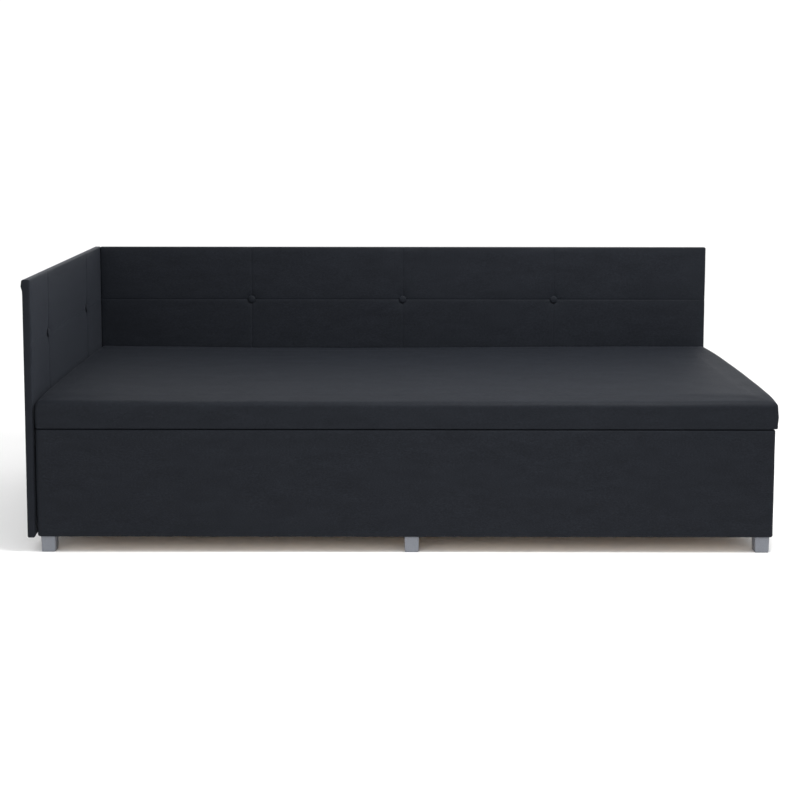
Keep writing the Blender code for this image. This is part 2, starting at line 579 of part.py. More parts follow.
def build_lift(end, place_x):
    """One box end's lift. place_x turns a distance from that end of the box into X. From the box end
    inwards stand the base plate, the rear arm, the lid's bracket, the front arm and the strut."""
    def across(low, high):
        return sorted((place_x(low), place_x(high)))

    def hung_pin(pivot, start, near, far):
        """A pin rooted in one piece at start, with a shoulder on each side of the piece it carries."""
        way = 1 if far > near else -1
        marks = ((SHOULDER_RADIUS, start), (SHOULDER_RADIUS, near - way * GAP),
                 (PIN_RADIUS, near - way * GAP), (PIN_RADIUS, far + way * GAP),
                 (SHOULDER_RADIUS, far + way * GAP), (SHOULDER_RADIUS, far + way * (GAP + PIN_HEAD)))
        return pin(pivot, marks, place_x)

    def eye(pivot, arm_x, play):
        ends = across(arm_x - GAP, arm_x + ARM_THICKNESS + GAP)
        return rod((ends[0], *pivot), (ends[1], *pivot), PIN_RADIUS + play)

    bite = PLATE_THICKNESS / 2
    rear_arm_inner = REAR_ARM_X + ARM_THICKNESS
    front_arm_inner = FRONT_ARM_X + ARM_THICKNESS
    eye_span = (STRUT_X - STRUT_EYE_WIDTH / 2, STRUT_X + STRUT_EYE_WIDTH / 2)

    base_outline = rounded_hull((FRONT_ARM_FOOT, STRUT_FOOT, REAR_ARM_FOOT), PLATE_MARGIN)
    base_ends = across(PLATE_X, PLATE_X + PLATE_THICKNESS)
    base = add(f"lift_plate_{end}", plate(base_outline, base_ends), ZINC, bed)
    root = PLATE_X + bite
    combine(base, [hung_pin(REAR_ARM_FOOT, root, REAR_ARM_X, rear_arm_inner),
                   hung_pin(FRONT_ARM_FOOT, root, FRONT_ARM_X, front_arm_inner),
                   hung_pin(STRUT_FOOT, root, *eye_span)], 'UNION')

    rear_outline = rounded_hull((REAR_ARM_FOOT, REAR_ARM_HEAD), ARM_MARGIN)
    rear_ends = across(REAR_ARM_X, rear_arm_inner)
    rear = add(f"rear_arm_{end}", plate(rear_outline, rear_ends), ZINC, rear_arm_axis)
    combine(rear, [eye(REAR_ARM_FOOT, REAR_ARM_X, PIN_PLAY), eye(REAR_ARM_HEAD, REAR_ARM_X, PIN_PLAY)],
            'DIFFERENCE')

    front_outline = rounded_hull((FRONT_ARM_FOOT, FRONT_ARM_HEAD), ARM_MARGIN)
    front_ends = across(FRONT_ARM_X, front_arm_inner)
    front = add(f"front_arm_{end}", plate(front_outline, front_ends), ZINC, front_arm_axis)
    combine(front, [eye(FRONT_ARM_FOOT, FRONT_ARM_X, PIN_PLAY),
                    eye(FRONT_ARM_HEAD, FRONT_ARM_X, OPEN_PIVOT_PLAY)], 'DIFFERENCE')
    combine(front, [hung_pin(STRUT_HEAD, front_arm_inner - bite, *eye_span)], 'UNION')

    bracket_top = RAIL_TOP - ARM_MARGIN - GAP
    top_front = Vector((FRONT_ARM_HEAD.x - BRACKET_REACH, bracket_top))
    top_rear = Vector((REAR_ARM_HEAD.x + BRACKET_REACH, bracket_top))
    bracket_outline = rounded_hull((FRONT_ARM_HEAD, REAR_ARM_HEAD, top_rear, top_front), ARM_MARGIN)
    bracket_ends = across(BRACKET_X, BRACKET_X + PLATE_THICKNESS)
    bracket = add(f"lid_bracket_{end}", plate(bracket_outline, bracket_ends), ZINC, lid_axis)
    middle = BRACKET_X + bite
    combine(bracket, [hung_pin(REAR_ARM_HEAD, middle, rear_arm_inner, REAR_ARM_X),
                      hung_pin(FRONT_ARM_HEAD, middle, FRONT_ARM_X, front_arm_inner)], 'UNION')


def build_strut(end, place_x):
    """A gas strut from the base plate to the front arm: a tube with its chamber, and a rod with a piston."""
    foot = Vector((place_x(STRUT_X), *STRUT_FOOT))
    head = Vector((place_x(STRUT_X), *STRUT_HEAD))
    along = (head - foot).normalized()
    closed = (head - foot).length
    half = STRUT_EYE_WIDTH / 2
    piston_foot = STRUT_EYE_RADIUS + 2 * STRUT_TUBE_WALL + STRUT_PISTON
    chamber_foot = piston_foot - STRUT_PISTON / 2
    tube_end = closed - STRUT_ROD_SHOWN
    seal = tube_end - 3 * STRUT_TUBE_WALL
    bore = STRUT_TUBE_RADIUS - STRUT_TUBE_WALL
    neck = STRUT_ROD_RADIUS + PISTON_PLAY
    tube_foot = chamber_foot - 2 * STRUT_TUBE_WALL
    stem = STRUT_ROD_RADIUS
    tube = turned(((0, 0), (stem, 0), (stem, tube_foot), (STRUT_TUBE_RADIUS * 0.8, tube_foot),
                   (STRUT_TUBE_RADIUS, tube_foot + TUBE_EASE), (STRUT_TUBE_RADIUS, tube_end - TUBE_EASE),
                   (STRUT_TUBE_RADIUS * 0.85, tube_end), (neck, tube_end), (neck, seal), (bore, seal),
                   (bore, chamber_foot), (0, chamber_foot)), foot, along)
    cylinder = add(f"gas_cylinder_{end}", tube, BLACK_STEEL, strut_axis)

    def crosswise(centre, radius, reach):
        shift = Vector((reach, 0, 0))
        return rod(centre - shift, centre + shift, radius)

    combine(cylinder, [crosswise(foot, STRUT_EYE_RADIUS, half)], 'UNION')
    combine(cylinder, [crosswise(foot, PIN_RADIUS + PIN_PLAY, half + GAP)], 'DIFFERENCE')

    piston = bore - PISTON_PLAY
    bar = turned(((0, piston_foot), (piston, piston_foot), (piston, piston_foot + STRUT_PISTON),
                  (STRUT_ROD_RADIUS, piston_foot + STRUT_PISTON), (STRUT_ROD_RADIUS, closed - half),
                  (0, closed - half)), foot, along)
    shaft = add(f"gas_rod_{end}", bar, CHROME, strut_rod_axis)
    combine(shaft, [crosswise(head, STRUT_EYE_RADIUS, half)], 'UNION')
    combine(shaft, [crosswise(head, PIN_RADIUS + OPEN_PIVOT_PLAY, half + GAP)], 'DIFFERENCE')


rear_board, left_board = build_box_boards()
build_box_floor()
build_corner_blocks()
box_skin = build_box_skin()
build_feet()
build_panels(rear_board, left_board, box_skin)
build_lid_frame()
build_mattress()
for box_end, from_end in (("left", lambda x: x), ("right", lambda x: BOX_LENGTH - x)):
    build_lift(box_end, from_end)
    build_strut(box_end, from_end)
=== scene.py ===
"""The looks of the daybed: its velvet, boards, feet and lifts, built in place round the CAD frame.

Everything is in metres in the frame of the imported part: X along the bed from the side panel's end, Y
towards the back panel, Z up from the floor.
"""

import math

import bmesh
import bpy
import numpy as np
from mathutils import Matrix, Vector, noise


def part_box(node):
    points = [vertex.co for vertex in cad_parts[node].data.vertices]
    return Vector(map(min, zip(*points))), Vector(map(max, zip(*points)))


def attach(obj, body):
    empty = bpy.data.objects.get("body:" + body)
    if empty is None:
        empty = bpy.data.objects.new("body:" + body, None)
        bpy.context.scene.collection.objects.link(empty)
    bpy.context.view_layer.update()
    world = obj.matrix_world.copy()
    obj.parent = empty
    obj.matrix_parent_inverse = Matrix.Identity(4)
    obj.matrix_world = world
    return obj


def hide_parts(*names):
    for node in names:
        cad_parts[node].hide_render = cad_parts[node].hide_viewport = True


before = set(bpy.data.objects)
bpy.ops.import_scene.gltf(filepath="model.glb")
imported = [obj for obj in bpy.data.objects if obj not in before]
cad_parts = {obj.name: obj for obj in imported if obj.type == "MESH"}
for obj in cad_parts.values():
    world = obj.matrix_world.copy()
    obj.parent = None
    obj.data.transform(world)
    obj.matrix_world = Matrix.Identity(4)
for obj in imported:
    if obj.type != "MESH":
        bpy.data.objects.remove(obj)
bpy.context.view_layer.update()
scene = bpy.context.scene


# ---- Feet -----------------------------------------------------------------------------------------
# Six square feet moulded in grey plastic with a fine sparkle grain, each screwed up into a floor cleat
# by its stud. They taper to the floor, with rolled edges and a hollow sole as the mould leaves them.
def finish(name, colour, roughness, metallic=0.0, **sockets):
    """A material with its even values set on the shader; nodes may then vary colour and relief."""
    made = bpy.data.materials.new(name)
    made.use_nodes = True
    shader = made.node_tree.nodes["Principled BSDF"]
    shader.inputs["Base Color"].default_value = (*colour, 1.0)
    shader.inputs["Roughness"].default_value = roughness
    shader.inputs["Metallic"].default_value = metallic
    for socket, value in sockets.items():
        shader.inputs[socket.replace("_", " ")].default_value = value
    return made


def node(made, kind, inputs, **settings):
    """A new node. Each input is another node's output, or a value of its own."""
    added = made.node_tree.nodes.new("ShaderNode" + kind)
    for name, value in settings.items():
        setattr(added, name, value)
    for name, value in inputs.items():
        if isinstance(value, bpy.types.NodeSocket):
            made.node_tree.links.new(value, added.inputs[name])
        else:
            added.inputs[name].default_value = value
    return added.outputs[0]


def surface_place(made, scale):
    """Where a point lies on its piece, stretched by a scale along each axis."""
    spot = made.node_tree.nodes.new("ShaderNodeTexCoord").outputs["Object"]
    return node(made, "Mapping", {"Vector": spot, "Scale": scale})


def tones(made, value, *stops):
    """Turn a value into colour through stops of (place, colour), and put it on the shader."""
    added = made.node_tree.nodes.new("ShaderNodeValToRGB")
    elements = added.color_ramp.elements
    while len(elements) < len(stops):
        elements.new(0.5)
    for element, (place, colour) in zip(elements, stops):
        element.position = place
        element.color = (*colour, 1.0)
    made.node_tree.links.new(value, added.inputs["Fac"])
    shader = made.node_tree.nodes["Principled BSDF"]
    made.node_tree.links.new(added.outputs["Color"], shader.inputs["Base Color"])


def gloss_range(made, value, low, high):
    """Vary the roughness between two values."""
    shader = made.node_tree.nodes["Principled BSDF"]
    spread = node(made, "MapRange", {"Value": value, "To Min": low, "To Max": high})
    made.node_tree.links.new(spread, shader.inputs["Roughness"])


def relief(made, height, depth, strength=1.0):
    """Fine relief, metres deep, added on whatever relief the material already has."""
    shader = made.node_tree.nodes["Principled BSDF"]
    inputs = {"Height": height, "Distance": depth, "Strength": strength}
    if shader.inputs["Normal"].links:
        inputs["Normal"] = shader.inputs["Normal"].links[0].from_socket
    made.node_tree.links.new(node(made, "Bump", inputs), shader.inputs["Normal"])


def mesh_piece(name, points, faces, material, body):
    """A smooth mesh drawn in place, riding on one body, with its faces turned outwards."""
    mesh = bpy.data.meshes.new(name)
    mesh.from_pydata([tuple(point) for point in points], [], faces)
    shape = bmesh.new()
    shape.from_mesh(mesh)
    bmesh.ops.recalc_face_normals(shape, faces=shape.faces)
    shape.to_mesh(mesh)
    shape.free()
    mesh.shade_smooth()
    mesh.materials.append(material)
    piece = bpy.data.objects.new(name, mesh)
    scene.collection.objects.link(piece)
    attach(piece, body)
    return piece


def ring_faces(rings, count):
    """Quads between neighbouring rings of the same count of points, numbered ring by ring."""
    faces = []
    for lower in range(rings - 1):
        for i in range(count):
            j = (i + 1) % count
            faces.append((lower * count + i, lower * count + j,
                          (lower + 1) * count + j, (lower + 1) * count + i))
    return faces


def rounded_square(centre, half, corner, z, steps=6):
    """Points round a square with rounded corners, at one height."""
    points = []
    for quarter in range(4):
        for step in range(steps + 1):
            angle = math.radians(90 * (quarter + step / steps))
            turn = Matrix.Rotation(math.radians(90 * quarter), 2)
            middle = turn @ Vector((half - corner, half - corner))
            points.append((centre[0] + middle.x + corner * math.cos(angle),
                           centre[1] + middle.y + corner * math.sin(angle), z))
    return points


foot_plastic = finish("moulded_grey_plastic", (0.22, 0.235, 0.265), 0.42, Specular_IOR_Level=0.45)
speck = node(foot_plastic, "TexNoise", {"Vector": surface_place(foot_plastic, (1, 1, 1)), "Scale": 1400.0,
                                        "Detail": 3.0})
tones(foot_plastic, speck, (0.30, (0.095, 0.103, 0.120)), (0.72, (0.185, 0.195, 0.22)))
gloss_range(foot_plastic, speck, 0.34, 0.55)
relief(foot_plastic, speck, 0.00012)

FOOT_CORNER = 0.0032
FOOT_TAPER = 0.0015             # each side draws in this far towards the floor
FOOT_ROLL = 0.0013
FOOT_CLEAR = 0.0003             # below the box cover
SOLE_RIM = 0.0035
SOLE_HOLLOW = 0.0025
cover_low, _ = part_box("box_cover")
top = cover_low.z - FOOT_CLEAR
for side in ("front", "rear"):
    for place in ("left", "middle", "right"):
        name = f"foot_{side}_{place}"
        low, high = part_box(name)
        centre = ((low.x + high.x) / 2, (low.y + high.y) / 2)
        half = (high.x - low.x) / 2
        tip = half - FOOT_TAPER
        # Half width and height, from the sole's hollow out over its rim and up to the head.
        levels = [(tip - SOLE_RIM - 0.0004, SOLE_HOLLOW), (tip - SOLE_RIM, SOLE_HOLLOW - 0.0006),
                  (tip - SOLE_RIM + 0.0005, 0.0003), (tip - SOLE_RIM + 0.001, 0.0)]
        for step in range(4):
            angle = math.radians(90 * step / 3)
            levels.append((tip - FOOT_ROLL * (1 - math.sin(angle)), FOOT_ROLL * (1 - math.cos(angle))))
        levels += [(tip + FOOT_TAPER * share, top * share) for share in (0.2, 0.5, 0.8, 0.985)]
        levels += [(half - 0.0003, top - 0.0002), (half - 0.0011, top)]
        rings = [rounded_square(centre, reach, max(min(FOOT_CORNER, reach - 0.001), 0.0005), z)
                 for reach, z in levels]
        count = len(rings[0])
        faces = ring_faces(len(rings), count)
        faces += [tuple(range(count)), tuple(range((len(rings) - 1) * count, len(rings) * count))]
        foot = mesh_piece(f"{name}_moulding", [point for ring in rings for point in ring], faces,
                          foot_plastic, "base")
        foot.data.set_sharp_from_angle(angle=math.radians(50))
        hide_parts(name)


# ---- Bedding box: boards, floor, cleats, batten and corner blocks -----------------------------------
# A box of glued chipboard with a hardboard floor lying on pine cleats and a middle batten, and a pine
# block glued into each corner. The cut boards keep the flecks of their chips and the battens their grain.
def chipboard_finish(name):
    made = finish(name, (0.36, 0.27, 0.18), 0.75)
    chips = node(made, "TexVoronoi", {"Vector": surface_place(made, (110, 110, 230)), "Scale": 1.6,
                                      "Randomness": 1.0}, feature="F1")
    drift = node(made, "TexNoise", {"Vector": surface_place(made, (1, 1, 1)), "Scale": 240.0,
                                    "Detail": 5.0})
    mixed = node(made, "Math", {0: chips, 1: drift}, operation="MULTIPLY_ADD")
    tones(made, mixed, (0.15, (0.20, 0.135, 0.080)), (0.48, (0.37, 0.275, 0.175)),
          (0.85, (0.52, 0.42, 0.29)))
    gloss_range(made, drift, 0.62, 0.85)
    relief(made, mixed, 0.0003)
    return made


def pine_finish(name, along):
    """Planed pine, its growth lines running along one axis."""
    made = finish(name, (0.52, 0.36, 0.20), 0.62)
    fine = [70.0, 70.0, 70.0]
    fine["XYZ".index(along)] = 2.2
    lines = node(made, "TexNoise", {"Vector": surface_place(made, fine), "Scale": 1.0, "Detail": 6.0,
                                    "Roughness": 0.62, "Distortion": 0.6})
    tones(made, lines, (0.28, (0.33, 0.19, 0.085)), (0.46, (0.53, 0.36, 0.19)),
          (0.70, (0.64, 0.47, 0.28)))
    gloss_range(made, lines, 0.5, 0.74)
    relief(made, lines, 0.0002)
    return made


def hardboard_finish(name):
    made = finish(name, (0.19, 0.115, 0.06), 0.55)
    felt = node(made, "TexNoise", {"Vector": surface_place(made, (1, 1, 1)), "Scale": 520.0,
                                   "Detail": 6.0, "Roughness": 0.7})
    tones(made, felt, (0.3, (0.13, 0.075, 0.037)), (0.7, (0.27, 0.17, 0.095)))
    gloss_range(made, felt, 0.42, 0.7)
    relief(made, felt, 0.00015)
    return made


def dress(names, material):
    """Give a material to pieces that show as the CAD frame has them."""
    for name in names:
        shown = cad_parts[name].data
        shown.materials.clear()
        shown.materials.append(material)


chipboard = chipboard_finish("raw_chipboard")
pine_along = pine_finish("pine_lengthways", "X")
pine_across = pine_finish("pine_crossways", "Y")
pine_upright = pine_finish("pine_upright", "Z")
hardboard = hardboard_finish("brown_hardboard")
dress(("box_front_board", "box_rear_board", "box_left_board", "box_right_board"), chipboard)
dress(("back_board", "side_board"), chipboard)
dress(("floor_cleat_front", "floor_cleat_rear"), pine_along)
dress(("floor_batten",), pine_across)
dress([f"corner_block_{side}_{end}" for side in ("front", "rear") for end in ("left", "right")],
      pine_upright)
dress(("box_floor", "lid_board"), hardboard)


# ---- Box cover ------------------------------------------------------------------------------------
# One band of graphite microvelvet over thin wadding, wrapped round the four boards, stapled down inside
# the rim and turned in under the lower edge. It is drawn tight, with a little slack along the bottom.
def velvet_finish(name, along, nap_shine):
    """Short-pile velvet. Its nap lies level, in fine streaks of two near tones along one axis."""
    made = finish(name, (0.0080, 0.0094, 0.0122), 0.57, Sheen_Weight=nap_shine, Sheen_Roughness=0.42,
                  Specular_IOR_Level=0.065)
    shader = made.node_tree.nodes["Principled BSDF"]
    shader.inputs["Sheen Tint"].default_value = (0.70, 0.76, 0.90, 1.0)
    fine = [1150.0, 1150.0, 1150.0]
    fine["XYZ".index(along)] = 210.0
    streaks = node(made, "TexNoise", {"Vector": surface_place(made, fine), "Scale": 1.0, "Detail": 2.5,
                                      "Roughness": 0.6})
    broad = [34.0, 34.0, 34.0]
    broad["XYZ".index(along)] = 11.0
    brushed = node(made, "TexNoise", {"Vector": surface_place(made, broad), "Scale": 1.0,
                                      "Detail": 3.0, "Distortion": 0.4})
    drifting = node(made, "Math", {0: brushed, 1: 0.22, 2: streaks}, operation="MULTIPLY_ADD")
    evened = node(made, "Math", {0: drifting, 1: 0.82}, operation="MULTIPLY")
    tones(made, evened, (0.32, (0.0046, 0.0055, 0.0073)), (0.50, (0.0076, 0.0089, 0.0119)),
          (0.68, (0.0126, 0.0146, 0.0190)))
    gloss_range(made, streaks, 0.50, 0.64)
    pile = node(made, "TexNoise", {"Vector": surface_place(made, (1, 1, 1)), "Scale": 2600.0,
                                   "Detail": 1.0})
    relief(made, streaks, 0.0005)
    relief(made, pile, 0.00012)
    return made


def plan_ring(x_span, y_span, corner, inset, spacing, corner_steps=6):
    """Points round a rectangle with rounded corners, drawn in by an inset. Their count doesn't depend on
    the inset, so that rings at several levels join up."""
    xs = (x_span[0] + inset, x_span[1] - inset)
    ys = (y_span[0] + inset, y_span[1] - inset)
    radius = max(corner - inset, 0.0012)
    along = max(int((x_span[1] - x_span[0]) / spacing), 1)
    across = max(int((y_span[1] - y_span[0]) / spacing), 1)
    centres = ((xs[1] - radius, ys[1] - radius), (xs[0] + radius, ys[1] - radius),
               (xs[0] + radius, ys[0] + radius), (xs[1] - radius, ys[0] + radius))
    points = []
    for quarter, centre in enumerate(centres):
        for step in range(corner_steps + 1):
            angle = math.radians(90 * (quarter + step / corner_steps))
            points.append((centre[0] + radius * math.cos(angle), centre[1] + radius * math.sin(angle)))
        start = np.array(points[-1])
        angle = math.radians(90 * (quarter + 1))
        following = centres[(quarter + 1) % 4]
        end = np.array((following[0] + radius * math.cos(angle), following[1] + radius * math.sin(angle)))
        steps = along if quarter in (0, 2) else across
        points += [tuple(start + (end - start) * step / steps) for step in range(1, steps)]
    return np.array(points)


velvet_level = velvet_finish("graphite_velvet_lengthways", "X", 0.028)
velvet_cross = velvet_finish("graphite_velvet_crossways", "Y", 0.065)

COVER_TURN = 0.0018             # thickness of the wrapped cloth where its cut edge shows
RIM_ROLL = 0.0032
HEM_ROLL = 0.004
HEM_TURNED = 0.018              # under the lower edge
LIP_DEPTH = 0.0215              # down inside the rim
INNER_LAYER = 0.0036            # the band and its wadding, past the board's inner face
BOX_CORNER = 0.012
BAND_STEP = 0.008
WALL_STEPS = 34
RIM_PAD = 0.0021                # the wadding stands up along the rim, and the lid nearly rests on it
RIM_PAD_END = 0.325             # it stops short of where the open lid's rear edge comes down
RIM_PAD_EASE = 0.03
SLACK = 0.0011
TAUT_BELOW_RIM = 0.06
TUCK_DEPTH = 0.0016             # small tucks along the bottom of the walls
TUCKS_FROM = 0.86               # of the way down
low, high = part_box("box_cover")
_, board_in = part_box("box_front_board")
inside = board_in.y - low.y + INNER_LAYER
height = high.z - low.z
section = [(inside, LIP_DEPTH), (inside, LIP_DEPTH * 0.5), (inside, RIM_ROLL)]
for step in range(1, 5):
    angle = math.radians(90 * step / 5)
    section.append((inside - RIM_ROLL * (1 - math.cos(angle)), RIM_ROLL * (1 - math.sin(angle))))
rim_top = inside - 2 * RIM_ROLL
section += [(RIM_ROLL + rim_top * step / 6, 0.0) for step in range(6, -1, -1)]
for step in range(1, 6):
    angle = math.radians(90 * step / 6)
    section.append((RIM_ROLL * (1 - math.sin(angle)), RIM_ROLL * (1 - math.cos(angle))))
section += [(0.0, RIM_ROLL + (height - RIM_ROLL - HEM_ROLL) * step / WALL_STEPS)
            for step in range(WALL_STEPS + 1)]
for step in range(1, 6):
    angle = math.radians(90 * step / 5)
    section.append((HEM_ROLL * (1 - math.cos(angle)), height - HEM_ROLL * (1 - math.sin(angle))))
section += [(HEM_TURNED * 0.6, height), (HEM_TURNED, height)]
rings = [plan_ring((low.x, high.x), (low.y, high.y), BOX_CORNER, inset, BAND_STEP) for inset, _ in section]
count = len(rings[0])
points = []
for (inset, drop), ring in zip(section, rings):
    for x, y in ring:
        z = high.z - drop
        if drop == 0.0 and RIM_ROLL < inset < inside - RIM_ROLL:
            ease = min(max((RIM_PAD_END - y) / RIM_PAD_EASE, 0.0), 1.0)
            z += RIM_PAD * ease * math.sin(math.pi * (inset - RIM_ROLL) / rim_top) ** 0.5
        at_end = min(x - low.x, high.x - x) < BOX_CORNER
        outward = Vector((x - (low.x + high.x) / 2, 0.0)) if at_end \
            else Vector((0.0, y - (low.y + high.y) / 2))
        at_rear = y > high.y - BOX_CORNER
        down = min(max(drop / height, 0), 1)
        loose = 0.0 if at_rear or inset > RIM_ROLL else math.sin(math.pi * down) ** 0.5
        below_rim = min(1.0, drop / TAUT_BELOW_RIM)
        billow = noise.noise(Vector((x * 3.1, y * 3.1, z * 7.0))) + 0.5 * noise.noise(
            Vector((x * 9.0, y * 9.0, z * 16.0 + 4)))
        near_hem = max(0.0, drop / height - TUCKS_FROM) / (1 - TUCKS_FROM)
        tuck = 0 if at_rear else TUCK_DEPTH * max(0.0, noise.noise(Vector((x * 16, y * 16, 9.0)))) * near_hem
        push = outward.normalized() * (loose * below_rim * SLACK * billow - tuck)
        points.append((x + push.x, y + push.y, z))
box_cover = mesh_piece("box_cover_velvet", points, ring_faces(len(section), count), velvet_level, "base")
cloth = box_cover.modifiers.new("cloth thickness", "SOLIDIFY")
cloth.thickness = COVER_TURN
cloth.offset = -1.0
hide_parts("box_cover")


# ---- Back and side panels ---------------------------------------------------------------------------
# Each panel is a board faced with thin foam in a velvet slip. The slip is sewn from quilted fields with
# plain seams, upright at each button and level through them all, and every button is pulled in deep.
def grid_lines(low, high, radius, spacing, seams=(), roll_steps=6):
    """Lines across a padded face, each (place, roll). Roll goes from 0 on the flat to 1 at the rim, and
    the lines stand close together over the rolled edges and beside each seam."""
    beside = (0.0, 0.0009, 0.0019, 0.0032, 0.005, 0.0075, 0.011, 0.0155)
    kept_off = beside[-1] + 0.004
    first, last = low + radius, high - radius
    steps = round((last - first) / spacing)
    even = [first + (last - first) * step / steps for step in range(steps + 1)]
    kept = [place for place in even
            if place in (first, last) or all(abs(place - seam) > kept_off for seam in seams)]
    kept += [seam + side * step for seam in seams for step in beside for side in (-1, 1)
             if first < seam + side * step < last and (step or side == 1)]
    lines = [(first, -step / roll_steps) for step in range(roll_steps, 0, -1)]
    lines += [(place, 0.0) for place in sorted(kept)]
    lines += [(last, step / roll_steps) for step in range(1, roll_steps + 1)]
    return lines


def padded_face(u_lines, v_lines, radius, squareness):
    """Points (u, v, out) of a face whose rim rolls over, and the way that each point faces."""
    inner_u, roll_u = (np.array(column) for column in zip(*u_lines))
    inner_v, roll_v = (np.array(column) for column in zip(*v_lines))
    inner = np.stack(np.meshgrid(inner_u, inner_v, indexing="ij"), -1)
    roll = np.stack(np.meshgrid(roll_u, roll_v, indexing="ij"), -1)
    share = np.abs(roll)
    reach = share.max(-1)
    small = share.min(-1) / np.maximum(reach, 1e-9)
    around = np.radians(np.where(share[..., 0] >= share[..., 1], 45 * small, 90 - 45 * small))
    bulge = (np.cos(around) ** squareness + np.sin(around) ** squareness) ** (-1 / squareness)
    side = np.sin(reach * math.pi / 2) * bulge
    facing = np.stack((np.sign(roll[..., 0]) * side * np.cos(around),
                       np.sign(roll[..., 1]) * side * np.sin(around), np.cos(reach * math.pi / 2)), -1)
    points = np.concatenate((inner + radius * facing[..., :2], radius * (facing[..., 2:] - 1)), -1)
    return points, facing / np.linalg.norm(facing, axis=-1, keepdims=True)


def rim_order(rows, columns):
    """The grid's outermost points in order, as indices into its flattened points."""
    loop = [i * columns for i in range(rows)]
    loop += [(rows - 1) * columns + j for j in range(1, columns)]
    loop += [i * columns + columns - 1 for i in range(rows - 2, -1, -1)]
    loop += [j for j in range(columns - 2, 0, -1)]
    return loop


def grid_faces(rows, columns, start=0):
    faces = []
    for i in range(rows - 1):
        for j in range(columns - 1):
            corner = start + i * columns + j
            faces.append((corner, corner + 1, corner + columns + 1, corner + columns))
    return faces


def join_loops(first, second):
    """Quads between two closed loops of points."""
    return [(first[i], first[(i + 1) % len(first)], second[(i + 1) % len(first)], second[i])
            for i in range(len(first))]


def points_of(mesh):
    points = np.zeros(len(mesh.vertices) * 3, np.float32)
    mesh.vertices.foreach_get("co", points)
    return points.reshape(-1, 3)


def place_points(mesh, points):
    mesh.vertices.foreach_set("co", points.astype(np.float32).ravel())
    mesh.update()


def swell(piece, held, pressure, most, frames=16):
    """Blow a padded cover up with the cloth solver, its held points staying. Keep how far each point rose
    off the foam, and no point rises further than most."""
    group = piece.vertex_groups.new(name="held")
    for index, weight in enumerate(held):
        if weight > 0:
            group.add([index], float(weight), "REPLACE")
    rest = np.array([vertex.co for vertex in piece.data.vertices])
    outward = np.array([vertex.normal for vertex in piece.data.vertices])
    solver = piece.modifiers.new("swell", "CLOTH")
    cloth = solver.settings
    cloth.quality = 5
    cloth.mass = 0.3
    cloth.tension_stiffness = cloth.compression_stiffness = 20
    cloth.shear_stiffness = 8
    cloth.bending_stiffness = 0.6
    cloth.use_pressure = True
    cloth.uniform_pressure_force = pressure
    cloth.effector_weights.gravity = 0.0
    cloth.vertex_group_mass = "held"
    solver.point_cache.frame_start = 1
    solver.point_cache.frame_end = frames
    for moment in range(1, frames + 1):
        scene.frame_set(moment)
    swollen = piece.evaluated_get(bpy.context.evaluated_depsgraph_get()).to_mesh()
    moved = np.array([vertex.co for vertex in swollen.vertices]) - rest
    risen = np.clip((moved * outward).sum(1), 0, None)
    moved = outward * (most * np.tanh(risen / most))[:, None]
    piece.modifiers.remove(solver)
    piece.vertex_groups.remove(group)
    place_points(piece.data, rest + moved)
    scene.frame_set(1)


PANEL_ROLL = 0.0042             # radius of the panels' padded edges
PANEL_STEP = 0.014
PANEL_PRESSURE = 5.0
PANEL_RISE = 0.0006             # the most that the slip stands off its foam
PANEL_UNEVEN = 0.0006
SEAM_DEPTH = 0.0004             # of the stitched line itself
STITCH_WIDTH = 0.0011
SEAM_PULL = 0.0003              # of the hollow that the stitching pulls on both sides
SEAM_SPREAD = 0.009
BUTTON_PULL = 0.0042
BUTTON_SPREAD = 0.020
BUTTON_CREASES = 0.22           # eight shallow creases run out from each button
KNOT_PROUD = 0.0045             # the side slip's seam ends are knotted behind its upper front corner
KNOT_REACH = 0.011
KNOT_IN, KNOT_DOWN = 0.004, 0.014
FOLD_DROOP = 0.0035             # and its spare cloth is folded under the lower front corner
FOLD_REACH = 0.016


